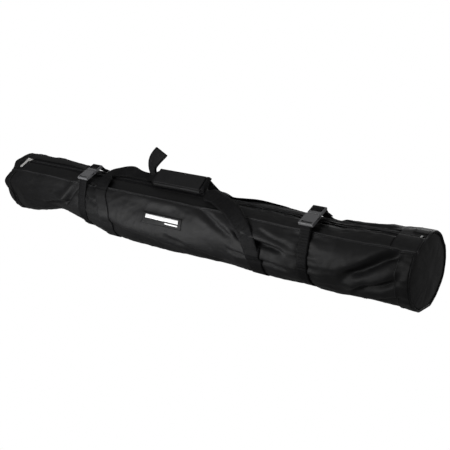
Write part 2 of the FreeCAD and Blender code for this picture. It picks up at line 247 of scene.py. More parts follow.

# %% [markdown]
# Pack cloth is a plain weave of nylon yarn with a dull coating. Two sets of fine bands make the warp
# and the weft, and a broad noise makes the cloth cockle. The mouth is painted darker as painted shade
# on the top of the case, and the welts are painted paler as a painted highlight on their ridges, so each
# has its own pair of colours.


# %% Pack cloth
def make_cloth(name, dark, light, sheen=0.0):
    mat, tree, shader = new_material(name, dark, 0.5)
    shader.inputs["Sheen Weight"].default_value = sheen
    shader.inputs["Sheen Roughness"].default_value = 0.4
    shader.inputs["Specular IOR Level"].default_value = 0.22
    uv = coordinates(tree, "UV", (1.0, 1.0, 1.0))
    solid = coordinates(tree, "Object", (1.0, 1.0, 1.0))
    patchy_color(tree, shader, solid, dark, light, 14.0)
    warp = bands(tree, uv, "X", 3.2, 0.3)
    weft = bands(tree, uv, "Y", 3.2, 0.3)
    weave = add(tree, "ShaderNodeMath", operation="MULTIPLY")
    tree.links.new(warp.outputs["Fac"], weave.inputs[0])
    tree.links.new(weft.outputs["Fac"], weave.inputs[1])
    cockle = add(tree, "ShaderNodeTexNoise", Scale=55.0, Detail=3.0, Roughness=0.55)
    link(tree, solid, "Vector", cockle, "Vector")
    first = bump(tree, shader, cockle, "Fac", 0.25, 0.0016)
    bump(tree, shader, weave, "Value", 0.18, 0.0003, below=first)
    vary_gloss(tree, shader, cockle, 0.46, 0.64)
    return mat


CLOTH = make_cloth("black_pack_cloth", (0.0042, 0.0042, 0.0046), (0.0085, 0.0085, 0.009))
# Painted shade: darker cloth for the mouth, flaps and end bands, whose upward faces fall in shade.
SHADED_TOP_CLOTH = make_cloth("black_cloth_painted_shade", (0.0022, 0.0022, 0.0025), (0.0045, 0.0045, 0.0048))
# Painted highlight: the welts are coloured paler to stand in for the light caught on their ridges.
WELT_CLOTH_PAINTED_HIGHLIGHT = make_cloth("welt_cloth_painted_highlight", (0.016, 0.016, 0.017), (0.035, 0.035, 0.036))
LINING = make_cloth("dark_lining", (0.02, 0.02, 0.022), (0.03, 0.03, 0.032), 0.05)
print("cloths:", [m.name for m in (CLOTH, SHADED_TOP_CLOTH, WELT_CLOTH_PAINTED_HIGHLIGHT, LINING)])

# %% [markdown]
# Webbing is ribbed: thick yarns lie across it, and along each side runs a smooth woven edge. The ribs
# are bands along the UV's length; the slanted bands between them give the herringbone of nylon webbing.


# %% Webbing
def make_webbing(name, dark, light, rib_scale):
    mat, tree, shader = new_material(name, dark, 0.62)
    shader.inputs["Specular IOR Level"].default_value = 0.12
    uv = coordinates(tree, "UV", (1.0, 1.0, 1.0))
    solid = coordinates(tree, "Object", (1.0, 1.0, 1.0))
    patchy_color(tree, shader, solid, dark, light, 60.0)
    ribs = bands(tree, uv, "Y", rib_scale, 0.4)
    slant = bands(tree, uv, "DIAGONAL", rib_scale * 0.8, 0.2)
    first = bump(tree, shader, ribs, "Fac", 0.5, 0.0005)
    bump(tree, shader, slant, "Fac", 0.3, 0.0004, below=first)
    return mat


WEBBING = make_webbing("black_webbing", (0.0026, 0.0026, 0.003), (0.006, 0.006, 0.0065), 2.0)
TAPE = make_webbing("zipper_tape", (0.004, 0.004, 0.0045), (0.008, 0.008, 0.009), 4.0)
print("webbings:", WEBBING.name, TAPE.name)

# %% [markdown]
# Moulded buckles, plated metal, thread and print share one recipe: an even colour, fine grain in the
# bump, and a slow change of roughness where hands have rubbed them.


# %% Plastic, metal, thread and print
def make_grained(name, color, roughness, metallic, grain_scale, grain):
    """Moulded or plated surface: fine grain in the bump, and handling marks in the roughness."""
    mat, tree, shader = new_material(name, color, roughness, metallic)
    solid = coordinates(tree, "Object", (1.0, 1.0, 1.0))
    speck = add(tree, "ShaderNodeTexNoise", Scale=grain_scale, Detail=4.0, Roughness=0.6)
    marks = add(tree, "ShaderNodeTexNoise", Scale=grain_scale * 0.12, Detail=3.0, Roughness=0.7)
    link(tree, solid, "Vector", speck, "Vector")
    link(tree, solid, "Vector", marks, "Vector")
    bump(tree, shader, speck, "Fac", grain, 0.0002)
    vary_gloss(tree, shader, marks, roughness - 0.08, roughness + 0.08)
    return mat


BUCKLE = make_grained("buckle_acetal", (0.12, 0.12, 0.125), 0.24, 0.0, 900.0, 0.2)
COIL = make_grained("nylon_coil", (0.012, 0.012, 0.013), 0.38, 0.0, 700.0, 0.15)
NICKEL = make_grained("nickel_plate", (0.82, 0.81, 0.79), 0.3, 0.45, 600.0, 0.08)
STOP = make_grained("crimped_steel", (0.5, 0.5, 0.5), 0.35, 1.0, 600.0, 0.15)
THREAD = make_grained("bonded_thread", (0.02, 0.02, 0.022), 0.45, 0.0, 1500.0, 0.3)
BOARD = make_grained("stiff_board", (0.05, 0.05, 0.052), 0.6, 0.0, 300.0, 0.2)
INK = make_grained("pale_print", (0.85, 0.85, 0.85), 0.55, 0.0, 900.0, 0.3)
print("hard finishes:", [m.name for m in (BUCKLE, COIL, NICKEL, STOP, THREAD, BOARD, INK)])

# %% [markdown]
# A backdrop that looks white would light black cloth far too brightly. So the paper mixes two glows:
# the camera sees the strong one, and every other ray meets the weak one.


# %% Backdrop paper
def make_lit_paper(name, glow, spill):
    """Backdrop paper: the camera sees it glow white, and it spills less light than that on the case."""
    mat = bpy.data.materials.new(name)
    mat.use_nodes = True
    tree = mat.node_tree
    seen, spilt = (add(tree, "ShaderNodeEmission", Strength=power) for power in (glow, spill))
    path = add(tree, "ShaderNodeLightPath")
    choose = add(tree, "ShaderNodeMixShader")
    link(tree, path, "Is Camera Ray", choose, "Fac")
    tree.links.new(spilt.outputs["Emission"], choose.inputs[1])
    tree.links.new(seen.outputs["Emission"], choose.inputs[2])
    tree.links.new(choose.outputs["Shader"], tree.nodes["Material Output"].inputs["Surface"])
    return mat


studio_floor.data.materials.append(make_lit_paper("lit_floor_paper", 1.0, 0.2))
studio_wall.data.materials.append(make_lit_paper("lit_wall_paper", 1.0, 0.12))
print("all finishes:", len(bpy.data.materials))

# %% [markdown]
# ## The shape of the filled case
# Cloth under tension is a tube with a mind of its own: it swells where the load is, it is drawn in by
# the two straps, and long folds run between the places that pull. The whole skin is one function of the
# place along the tube and the angle round it, so panels, tapes, webbing and labels all lie on one surface.


# %% Smooth interpolation between stations
def blend_values(stations, x):
    """Catmull-Rom through rows of (x, value, value, ...)."""
    xs = [row[0] for row in stations]
    x = min(max(x, xs[0]), xs[-1])
    i = max(k for k in range(len(xs) - 1) if xs[k] <= x)
    rows = [stations[max(i - 1, 0)], stations[i], stations[i + 1], stations[min(i + 2, len(xs) - 1)]]
    t = (x - xs[i]) / (xs[i + 1] - xs[i])
    out = []
    for k in range(1, len(stations[0])):
        a, b, c, d = (row[k] for row in rows)
        out.append(0.5 * (2 * b + (c - a) * t + (2 * a - 5 * b + 4 * c - d) * t * t
                          + (3 * b - a - 3 * c + d) * t ** 3))
    return out


def ease(t):
    t = min(max(t, 0.0), 1.0)
    return t * t * (3.0 - 2.0 * t)


def hill(value, middle, width):
    return math.exp(-((value - middle) / width) ** 2)


def wave(*place):
    """Smooth noise at a place given as three numbers."""
    return noise.noise(Vector(place))


# How far the cloth stands off the plain tube, in millimetres: (x, top, front, low, rear)
SWELL = [
    (-HALF, 9, 1, -2, 1), (-560, 10, 2, -6, 2), (-500, 10, 0, -16, 0), (-445, 7, -1, -26, -2),
    (-370, 0, -4, -18, -5), (STRAP_X["far"], -6, -5, -5, -5), (-235, 0, 4, 5, 2), (-130, 6, 8, 11, 5),
    (-10, 5, 9, 12, 6), (80, 1, 7, 7, 6), (142, -12, 4, 4, 4), (215, -9, 4, 6, 4), (300, -9, 3, 7, 3),
    (STRAP_X["near"], -12, -2, 3, -2), (435, -13, 2, 7, 1), (510, -6, 1, 0, 1), (575, 3, 4, 0, 3),
    (HALF, 5, 6, 2, 6),
]


def swell(x, angle):
    top, front, low, rear = blend_values(SWELL, x)
    around = [(-90, low), (-45, low), (15, front), (95, top), (180, rear), (228, low), (270, low)]
    angle = (angle + 90.0) % 360.0 - 90.0
    for (a0, v0), (a1, v1) in zip(around, around[1:]):
        if a0 <= angle <= a1:
            return v0 + (v1 - v0) * ease((angle - a0) / (a1 - a0))
    return low


print("swell in the middle:", [round(swell(0, a), 1) for a in (-60, 15, 95, 180)])

# %% [markdown]
# A fold is drawn as a stroke across the cloth: a raised lip, and just below it the valley that the lip
# throws into shade. Each stroke is a short list of places, with a width and two heights.

# %% Folds
# places as (x, angle), then width, lip height and valley depth in millimetres
FOLDS = [
    ([(452, -16), (510, 9), (548, 29), (592, 47)], 15, 4.0, 8.5),
    ([(472, -46), (512, -24), (546, -15), (596, 8)], 11, 3.5, 7.5),
    ([(500, -60), (545, -45), (598, -24)], 9, 2.0, 3.0),
    ([(196, 24), (234, 11), (285, 9), (345, 2)], 9, 3.5, 8.0),
    ([(180, -10), (234, -18), (300, -20), (352, -28)], 8, 3.5, 4.5),
    ([(262, 30), (310, 20), (352, 16)], 7, 1.5, 2.0),
    ([(20, 60), (100, 45), (159, 25), (212, 6)], 13, 4.5, 4.5),
    ([(0, -10), (60, -22), (114, -34), (170, -44)], 12, 4.0, 3.5),
    ([(-240, 0), (-153, -18), (-53, -24), (39, -33)], 17, 3.5, 2.5),
    ([(-120, 40), (-40, 30), (50, 34)], 18, 1.5, 1.5),
    ([(-384, -16), (-358, 8), (-338, 32), (-318, 60)], 10, 4.0, 7.0),
    ([(-478, -28), (-410, -8), (-350, 0)], 9, 3.5, 5.5),
    ([(-560, 5), (-470, 20), (-372, 26)], 14, 2.0, 2.5),
    ([(-590, 44), (-500, 52), (-360, 54)], 6, 2.0, 1.5),
    ([(-282, 48), (-250, 40), (-215, 36)], 7, 3.0, 3.0),
    ([(-284, 24), (-255, 14), (-225, 12)], 7, 2.5, 2.5),
    ([(-150, 66), (-90, 70), (-30, 68)], 7, 2.5, 1.5),
    ([(410, 100), (470, 108), (560, 96)], 12, 3.0, 3.0),
    ([(-540, 112), (-430, 118), (-340, 106)], 13, 3.0, 3.0),
    ([(-180, 150), (-20, 162), (160, 150)], 20, 3.0, 3.0),
    ([(240, 190), (330, 176), (420, 182), (560, 160)], 14, 3.0, 4.0),
    ([(-560, 196), (-440, 182), (-330, 190)], 14, 3.0, 4.0),
]
RELIEF = 1.45                     # how boldly all the folds are drawn
ARC = math.pi / 180.0 * RADIUS    # millimetres of cloth per degree round the tube


def smooth_stroke(places):
    """More places on a stroke, so that its corners are round."""
    rows = [(i, x, a * ARC) for i, (x, a) in enumerate(places)]
    return [tuple(blend_values(rows, i / 4.0)) for i in range(4 * (len(places) - 1) + 1)]


STROKES = []
for places, width, lip, valley in FOLDS:
    path = smooth_stroke(places)
    xs, ss = [p[0] for p in path], [p[1] for p in path]
    reach = 3.2 * width
    STROKES.append((path, width, lip, valley,
                    min(xs) - reach, max(xs) + reach, min(ss) - reach, max(ss) + reach))


def fold_height(x, s):
    total = 0.0
    for path, width, lip, valley, x0, x1, s0, s1 in STROKES:
        if not (x0 < x < x1 and s0 < s < s1):
            continue
        best, side, along = 1e9, 0.0, 0.0
        for i in range(len(path) - 1):
            ax, ay = path[i]
            bx, by = path[i + 1]
            dx, dy = bx - ax, by - ay
            t = min(max(((x - ax) * dx + (s - ay) * dy) / (dx * dx + dy * dy), 0.0), 1.0)
            ex, ey = x - ax - t * dx, s - ay - t * dy
            d = math.hypot(ex, ey)
            if d < best:
                best, side, along = d, (ey * dx - ex * dy), (i + t) / (len(path) - 1)
        d = best if side > 0 else -best
        taper = ease(along / 0.22) * ease((1.0 - along) / 0.22)
        if along in (0.0, 1.0):
            taper = 0.0
        if d > 0:
            total += taper * lip * math.exp(-(d / (1.5 * width)) ** 2)
        else:
            total += taper * lip * math.exp(-(d / (0.45 * width)) ** 2)
        total -= taper * valley * math.exp(-((d + 0.95 * width) / (0.62 * width)) ** 2)
    return RELIEF * total


print("folds:", len(STROKES), "with a lip of up to", max(lip for _, _, lip, *_ in STROKES) * RELIEF, "mm")

# %% [markdown]
# A tight strap gathers the cloth into pleats that fan out and fade within a hand's width, and the sewn
# ends pucker along their seams. Noise at three sizes adds what no one would draw: cockles and creases.


# %% Pleats, puckers and cockles
def gathers(x, angle):
    total = 0.0
    for strap_x in STRAP_X.values():
        gap = abs(x - strap_x)
        if gap > 130:
            continue
        a = math.radians(angle)
        wander = 1.2 * wave(x / 40.0, angle / 30.0, 3.0)
        pleat = math.cos(17 * a + wander + strap_x) + 0.7 * math.cos(29 * a - 1.6 * wander)
        total += 1.25 * pleat * math.exp(-max(gap - 13, 0) / 24.0) * ease((gap - 8) / 8.0)
        on_top = hill(angle, 84.0, 34.0)
        total -= 3.4 * math.exp(-(gap / 15.0) ** 2) * (1.0 - on_top)
        total += 5.0 * math.exp(-(gap / 24.0) ** 2) * hill(angle, 44.0, 17.0)
    return total


def puckers(x, angle):
    total = 0.0
    for end in (-HALF, HALF):
        gap = abs(x - end)
        if gap < 70:
            tuck = wave(angle / 9.0, end, 0.0) + 0.5 * wave(angle / 4.0, end, 5.0)
            total += 1.8 * tuck * math.exp(-max(gap - 12, 0) / 20.0) * ease(gap / 14.0)
    return total


def cockles(x, s):
    broad = 2.4 * wave(x / 80.0, s / 44.0, 1.0)
    warp_x = 9.0 * wave(x / 60.0, s / 60.0, 2.0)
    crease = 0.4 - abs(wave((x + warp_x) / 46.0 + 0.012 * s, s / 19.0 - 0.008 * x, 7.0))
    fine = 0.4 - abs(wave(x / 21.0 - 0.01 * s, (s + warp_x) / 13.0, 5.0))
    small = wave(x / 12.0, s / 9.0, 4.0)
    return broad + 2.6 * crease + 1.1 * fine + 0.35 * small


print("pleats beside a strap:", round(gathers(STRAP_X["near"] + 20, 10), 1), "mm")

# %% [markdown]
# All these heights add up to one distance from the tube's centre line. The far end is pinched in, and
# the cloth is held down where the slider and its pull tab pass over it, so that nothing fouls them.

# %% The whole skin
ZIP_END_CLEAR = 575.0        # from here out to the seam, the cloth beside the zipper lies flat
SETTLE_FROM = 500.0          # and from here it begins to
PINCH_FROM, PINCH_LENGTH = 540.0, 78.0
SLIDER_PATH = (34.0, 104.0)  # degrees


def headroom(angle):
    """Highest that the cloth may stand off the tube under the slider and its pull tab."""
    return 0.4 + 1.2 * max(44.0 - angle, 0.0) + 0.34 * max(angle - 77.0, 0.0)


def cloth_radius(x, angle):
    """Distance of the cloth's outside from the tube's centre line."""
    angle = (angle + 90.0) % 360.0 - 90.0
    s = angle * ARC
    off = swell(x, angle) + fold_height(x, s) + gathers(x, angle) + puckers(x, angle) + cockles(x, s)
    if x < -PINCH_FROM:
        pinch = 5.0 * hill(angle, 12.0, 10.0) - 13.0 * hill(angle, 44.0, 22.0)
        pinch -= 15.0 * hill(angle, -26.0, 25.0)
        off += pinch * ease((-PINCH_FROM - x) / PINCH_LENGTH)
    at_end = ease((abs(x) - SETTLE_FROM) / (ZIP_END_CLEAR - SETTLE_FROM))
    near_zip = hill(angle, ZIP_ANGLE, 9.0)
    off *= 1.0 - near_zip * at_end
    if SLIDER_PATH[0] < angle < SLIDER_PATH[1]:
        off = min(off, headroom(angle))
    return RADIUS + off


def under_webbing(x):
    """Extra room above the floor where webbing runs under the case."""
    places = [(v, 15.0) for v in STRAP_X.values()] + [(v, 21.0) for v in BAND_X.values()]
    return 2.2 * max(ease((w + 6.0 - abs(x - v)) / 6.0) for v, w in places)


def on_cloth(x, angle, lift=0.0):
    """Point in metres on the cloth, or above it by a lift in millimetres."""
    a = math.radians(angle)
    r = cloth_radius(x, angle) + lift
    low = 0.5 + under_webbing(x) + lift
    z = AXIS_Z + r * math.sin(a)
    return Vector((x, -r * math.cos(a), z if z > low else low)) * MM


def off_tube(x, angle, lift):
    """Point in metres above the plain tube, where webbing spans free of the cloth."""
    a = math.radians(angle)
    r = RADIUS + lift
    return Vector((x, -r * math.cos(a), AXIS_Z + r * math.sin(a))) * MM


print("cloth radius at the front of the middle:", round(cloth_radius(0, 10), 1), "mm")


# %% [markdown]
# ## Turning the surface into panels
# A grid from Blender's own operator is bent onto the surface, one panel at a time. Neighbouring panels
# share their edge, so they meet as sewn panels do, and each takes its thickness from Solidify.


# %% Helpers that finish a piece
def make_object(name, bm, material, smooth=True):
    piece = new_piece(name, bm)
    piece.data.materials.append(material)
    if smooth:
        piece.data.shade_smooth()
    return piece


def thicken(piece, thickness, offset=-1.0, inside=None):
    mod = piece.modifiers.new("thickness", "SOLIDIFY")
    mod.thickness = thickness * MM
    mod.offset = offset
    mod.use_even_offset = False
    if inside is not None:
        piece.data.materials.append(inside)
        mod.material_offset = 1
    return piece


def grid_piece(name, columns, rows, place, size_cm, material, thickness, offset=-1.0, inside=None):
    """A grid bent by place(u, v), with a UV map laid out in centimetres."""
    bm = bmesh.new()
    bmesh.ops.create_grid(bm, x_segments=columns, y_segments=rows, size=1.0)
    uv = bm.loops.layers.uv.new("UVMap")
    for face in bm.faces:
        for loop in face.loops:
            u, v = (loop.vert.co.x + 1) / 2, (loop.vert.co.y + 1) / 2
            loop[uv].uv = (u * size_cm[0], v * size_cm[1])
    for vert in bm.verts:
        vert.co = place((vert.co.x + 1) / 2, (vert.co.y + 1) / 2)
    return thicken(make_object(name, bm, material), thickness, offset, inside)


def cloth_panel(name, x0, x1, a0, a1, step_x=3.4, step_a=3.2, lift=0.0, material=CLOTH, thickness=1.3,
                inside=LINING):
    columns = max(4, round((x1 - x0) / step_x))
    rows = max(3, round((a1 - a0) * ARC / step_a))
    return grid_piece(name, columns, rows,
                      lambda u, v: on_cloth(x0 + (x1 - x0) * u, a0 + (a1 - a0) * v, lift),
                      ((x1 - x0) / 10, (a1 - a0) * ARC / 10), material, thickness, inside=inside)


print("helpers for a grid, its thickness and a panel of cloth")

# %% [markdown]
# The body is three long panels sewn edge to edge, and at each end the mouth is sewn shut.

# %% The fixed panels
PANEL_END = HALF - 3.0
BASE_EDGE = 55.0
body_cloth = {
    "front_cloth": (-BASE_EDGE, FRONT_HINGE, "front_panel"),
    "rear_cloth": (REAR_HINGE, 180.0 + BASE_EDGE, "rear_panel"),
    "base_cloth": (180.0 + BASE_EDGE, 360.0 - BASE_EDGE, "base_panel"),
}
for name, (a0, a1, node) in body_cloth.items():
    panel = cloth_panel(name, -PANEL_END, PANEL_END, a0, a1)
    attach(panel, "root")
    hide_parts(node)
    print(name, len(panel.data.polygons), "faces")

SLOT = 0.7        # degrees left open on each side of the zipper's middle
for side, name in ((-1, "far"), (1, "near")):
    x0, x1 = sorted((side * (FLAP_END + 0.5), side * PANEL_END))
    for part, a0, a1 in (("front", FRONT_HINGE, ZIP_ANGLE - SLOT), ("rear", ZIP_ANGLE + SLOT, REAR_HINGE)):
        # Painted shade: the mouth panels take the darker cloth because the top of the case is in shade.
        shut = cloth_panel(f"{name}_mouth_{part}", x0, x1, a0, a1, material=SHADED_TOP_CLOTH)
        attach(shut, "root")
        if part == "front":
            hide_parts(name + "_mouth_end")
print("the mouth is open between", -FLAP_END, "and", FLAP_END)

# %% [markdown]
# The two mouth flaps open about their fold lines, where real cloth bends without a gap. Each flap's
# cloth is built in place between its fold line and the zipper tape.


# %% Mouth flaps
TAPE_IN, TAPE_OUT = 2.2, 10.4    # degrees from the zipper's middle to the tape's edges


def blend_over_hinge(piece):
    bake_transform(piece)


for body, a0, a1, hinge, toward in (("front_flap", FRONT_HINGE, ZIP_ANGLE - TAPE_OUT + 1.0, FRONT_HINGE, 1),
                                    ("rear_flap", ZIP_ANGLE + TAPE_OUT - 1.0, REAR_HINGE, REAR_HINGE, -1)):
    # Painted shade: the flaps take the darker cloth because they face up, where the case is in shade.
    flap = cloth_panel(body + "_cloth", -FLAP_END, FLAP_END, a0, a1, step_a=2.4, material=SHADED_TOP_CLOTH)
    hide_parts(body)
    blend_over_hinge(flap)
print("flap fold lines at", FRONT_HINGE, "and", REAR_HINGE, "degrees")

# %% [markdown]
# ## Zipper
# A woven tape carries each row of teeth. The rows lie a few millimetres apart, with room between them
# for the slider's neck, so the slider can run the whole length of the mouth.


# %% Tapes and teeth
TOOTH_PITCH = 2.4


def tooth_row(name, x0, x1, sign, body):
    """Small moulded teeth laid across the edge of the tape."""
    bm = bmesh.new()
    count = round((x1 - x0) / TOOTH_PITCH)
    turn = Matrix.Rotation(math.radians(90.0 - ZIP_ANGLE), 4, "X")
    for i in range(count):
        x = x0 + (i + 0.5) * (x1 - x0) / count
        where = Matrix.Translation(Vector((x, 0, AXIS_Z)) * MM) @ turn @ Matrix.Translation(
            Vector((0.35 * sign, sign * 2.1, RADIUS - 0.5)) * MM)
        size = Matrix.Diagonal(Vector((1.5, 2.4, 1.9, 1000.0)) * MM)
        bmesh.ops.create_cube(bm, size=1.0, matrix=where @ size)
    bmesh.ops.bevel(bm, geom=bm.edges[:], offset=0.35 * MM, segments=1, profile=0.5, affect="EDGES",
                    material=-1)
    row = make_object(name, bm, COIL, smooth=False)
    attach(row, body)
    return row


for sign, flap in ((-1, "front"), (1, "rear")):
    a0, a1 = sorted((ZIP_ANGLE + sign * TAPE_IN, ZIP_ANGLE + sign * TAPE_OUT))
    sewn = cloth_panel(flap + "_tape_cloth", -FLAP_END, FLAP_END, a0, a1, step_a=1.6, lift=-1.4,
                       material=TAPE, thickness=0.6, inside=None)
    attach(sewn, flap + "_flap")
    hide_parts(flap + "_tape")
    teeth = tooth_row(flap + "_teeth", -FLAP_END, FLAP_END, sign, flap + "_flap")
    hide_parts(flap + "_coil")
    for side, end in ((-1, "far"), (1, "near")):
        x0, x1 = sorted((side * (FLAP_END + 0.6), middle_x(end + "_zip_stop") - side * 2.2))
        tooth_row(f"{end}_{flap}_end_teeth", x0, x1, sign, "root")
print("teeth on each row:", round(2 * FLAP_END / TOOTH_PITCH))


# %% [markdown]
# ## Seams, piping and caps
# A welt is a thin roll of cloth caught in a seam. The piping at both ends is a thicker one, and the
# round caps inside it are drawn tight by their stitching, so they bulge in the middle and pucker outside.


# %% Tubes, ribbons and stitches
def tube_along(name, points, radius, material, closed=False, squash_to=1.0):
    """Round tube swept along points (metres), built from rings joined by faces."""
    sides = 8
    bm = bmesh.new()
    uv = bm.loops.layers.uv.new("UVMap")
    count = len(points)
    rings = []
    for i, p in enumerate(points):
        a = points[(i - 1) % count] if closed or i > 0 else p
        b = points[(i + 1) % count] if closed or i < count - 1 else p
        along = (b - a).normalized()
        out = Vector((0, p.y, p.z - AXIS_Z * MM))
        out = (out - along * out.dot(along)).normalized()
        across = along.cross(out)
        rings.append([bm.verts.new(p + radius * MM * (math.cos(t) * across + squash_to * math.sin(t) * out))
                      for t in (2 * math.pi * k / sides for k in range(sides))])
    pairs = [(i, (i + 1) % count) for i in range(count if closed else count - 1)]
    for i, j in pairs:
        for k in range(sides):
            m = (k + 1) % sides
            face = bm.faces.new((rings[i][k], rings[i][m], rings[j][m], rings[j][k]))
            for loop, (du, dv) in zip(face.loops, ((0, k), (0, k + 1), (1, k + 1), (1, k))):
                loop[uv].uv = ((i + du) * 0.4, dv * 0.2)
    if not closed:
        bm.faces.new(rings[0])
        bm.faces.new(rings[-1])
    bmesh.ops.recalc_face_normals(bm, faces=bm.faces)
    return make_object(name, bm, material)


def ribbon(name, rails, thickness, rows=5):
    """Webbing between two rails: rows of (left point, right point) in millimetres, drawn smoothly."""
    table = [(i, *left, *right) for i, (left, right) in enumerate(rails)]
    last = len(rails) - 1
    middles = [(Vector(a) + Vector(b)) / 2 for a, b in rails]
    length = sum((q - p).length for p, q in zip(middles, middles[1:]))
    width = (Vector(rails[last // 2][0]) - Vector(rails[last // 2][1])).length

    def place(u, v):
        row = blend_values(table, u * last)
        return Vector([row[k] + (row[k + 3] - row[k]) * v for k in range(3)]) * MM

    return grid_piece(name, max(8, round(length / 3.5)), rows, place,
                      (width / 10, length / 10), WEBBING, thickness, 0.0)


def turn_uv(piece):
    """Swap U and V so that the ribs of the weave lie across the webbing's length."""
    for loop in piece.data.uv_layers[0].data:
        u, v = loop.uv
        loop.uv = (v, u)
    return piece


STITCH, STITCH_GAP, STITCH_HEIGHT = 3.0, 1.4, 0.35


def stitches(name, points, body):
    """A row of separate stitches along points (metres) on the outside of the case."""
    bm = bmesh.new()
    walked, next_at = 0.0, 0.0
    for p, q in zip(points, points[1:]):
        step = (q - p).length / MM
        while next_at < walked + step and step > 0:
            here = p.lerp(q, (next_at - walked) / step)
            along = (q - p).normalized()
            out = Vector((0, here.y, here.z - AXIS_Z * MM)).normalized()
            side = along.cross(out).normalized()
            frame_at = Matrix((along, side, along.cross(side) * -1)).transposed().to_4x4()
            size = Matrix.Diagonal((STITCH * MM, 0.8 * MM, 0.7 * MM, 1.0))
            where = Matrix.Translation(here + out * STITCH_HEIGHT * MM)
            bmesh.ops.create_cube(bm, size=1.0, matrix=where @ frame_at @ size)
            next_at += STITCH + STITCH_GAP
        walked += step
    row = make_object(name, bm, THREAD, smooth=False)
    mod = row.modifiers.new("round", "BEVEL")
    mod.width = 0.25 * MM
    mod.segments = 1
    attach(row, body)
    return row


print("helpers for tubes, webbing and rows of stitches")


# %% Welts along the mouth's fold lines
def along_case(angle, lift, x0=-PANEL_END, x1=PANEL_END, step=5.0):
    count = max(2, round((x1 - x0) / step))
    return [on_cloth(x0 + (x1 - x0) * i / count, angle, lift) for i in range(count + 1)]


for name, angle, away in (("front", FRONT_HINGE - 0.9, -2.4), ("rear", REAR_HINGE + 0.9, 2.4)):
    # The welt's paler cloth is a painted highlight on the seam ridge.
    welt = tube_along(name + "_welt", along_case(angle, 0.3), 1.5, WELT_CLOTH_PAINTED_HIGHLIGHT, squash_to=0.7)
    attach(welt, "root")
    stitches(name + "_welt_stitches", along_case(angle + away, 0.0), "root")
for angle, name in ((-BASE_EDGE, "front_base"), (180 + BASE_EDGE, "rear_base")):
    stitches(name + "_stitches", along_case(angle, 0.0), "root")
print("two welts and four long rows of stitches")


# %% Piping
ROUND = [360.0 * i / 120 for i in range(120)]
PIPING_R = 2.6


def add_piping(side, end):
    line = [on_cloth(side * (HALF - 2.5), a, -1.6) for a in ROUND]
    for p in line:
        p.z = max(p.z, (PIPING_R + 0.1) * MM)
    roll = tube_along(end + "_piping_roll", line, PIPING_R, CLOTH, closed=True)
    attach(roll, "root")
    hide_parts(end + "_piping")


print("piping of", 2 * PIPING_R, "mm, held clear of the floor")

# %% [markdown]
# A cap is a disc of rings joined by faces. Its bulge, the tug of the seam and the slack of the cloth are
# three terms of one push along the case.


# %% Round caps
CAP_BULGE, CAP_RINGS = 4.2, 22


def cap_push(p, a, t, side):
    """How far the cap stands out at a share t of the way to its rim, in millimetres."""
    tug = wave(a / 13.0, t * 1.5, side) + 0.5 * wave(a / 6.0, t * 2.0, 9.0)
    slack = wave(p.y * 26.0, p.z * 26.0, side * 4.0)
    bulge = CAP_BULGE * (1 - t * t)
    return bulge + 1.6 * tug * t ** 3 * (1 - t) * 4 + 1.5 * slack * (1 - t ** 4) - 1.2 * t ** 8


def add_cap(side, end):
    bm = bmesh.new()
    uv = bm.loops.layers.uv.new("UVMap")
    rings = []
    centre = Vector((side * (HALF - 1.5), 0, AXIS_Z)) * MM
    for k in range(1, CAP_RINGS + 1):
        t = k / CAP_RINGS
        row = []
        for a in ROUND:
            p = centre.lerp(on_cloth(side * (HALF - 1.5), a, -4.6), t)
            row.append(bm.verts.new(p + Vector((side * cap_push(p, a, t, side) * MM, 0, 0))))
        rings.append(row)
    hub = bm.verts.new(centre + Vector((side * CAP_BULGE * MM, 0, 0)))
    for i in range(len(ROUND)):
        j = (i + 1) % len(ROUND)
        bm.faces.new((hub, rings[0][i], rings[0][j]))
        for inner, outer in zip(rings, rings[1:]):
            bm.faces.new((inner[i], outer[i], outer[j], inner[j]))
    bmesh.ops.recalc_face_normals(bm, faces=bm.faces)
    bm.faces.ensure_lookup_table()
    if bm.faces[0].normal.x * side < 0:
        bmesh.ops.reverse_faces(bm, faces=bm.faces)
    for face in bm.faces:
        for loop in face.loops:
            loop[uv].uv = (loop.vert.co.y * 100.0, loop.vert.co.z * 100.0)
    cap = thicken(make_object(end + "_cap_cloth", bm, CLOTH), 1.3, -1.0, LINING)
    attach(cap, "root")
    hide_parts(end + "_end_cap")


print("caps bulge by", CAP_BULGE, "mm")

# %% [markdown]
# Inside each end a tape binds the seam, and outside it a band of doubled cloth takes the wear. The near
# band leaves a wider gap at the top, where the pull tab comes to rest.


# %% Bindings and end bands
HEM = {"far": 26.0, "near": 34.0}          # width of each band
BAND_TO = {"far": 352.0, "near": 324.0}    # degrees past the zipper where it ends


def add_bindings(side, end):
    x0, x1 = sorted((side * (HALF - 17.0), side * (HALF - 7.0)))
    bound = cloth_panel(end + "_inside_binding", x0, x1, -90.0, 270.0, lift=-4.4, material=TAPE,
                        thickness=0.8, inside=None)
    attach(bound, "root")
    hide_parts(end + "_seam_binding")
    hem = HALF - HEM[end]
    x0, x1 = sorted((side * hem, side * (HALF - 4.0)))
    last = ZIP_ANGLE + BAND_TO[end]
    # Painted shade: the end band takes the darker cloth, standing in for the shade on the case's ends.
    band = cloth_panel(end + "_end_band", x0, x1, ZIP_ANGLE + 8.0, last, step_x=2.5, lift=1.0,
                       material=SHADED_TOP_CLOTH, thickness=0.9, inside=None)
    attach(band, "root")
    covered = [a for a in ROUND if not last - 362 < a < ZIP_ANGLE + 10]
    stitches(end + "_band_stitches", [on_cloth(side * (hem + 2.5), a, 1.1) for a in covered], "root")


for side, end in ((-1, "far"), (1, "near")):
    add_piping(side, end)
    add_cap(side, end)
    add_bindings(side, end)
print("piping, caps and bands at both ends")

# %% [markdown]
# ## Compression straps
# Each strap is sewn down under the case. Its two free runs leave the cloth where it curves away and go
# straight to the buckle, just as a taut ribbon leaves a cylinder along a tangent.


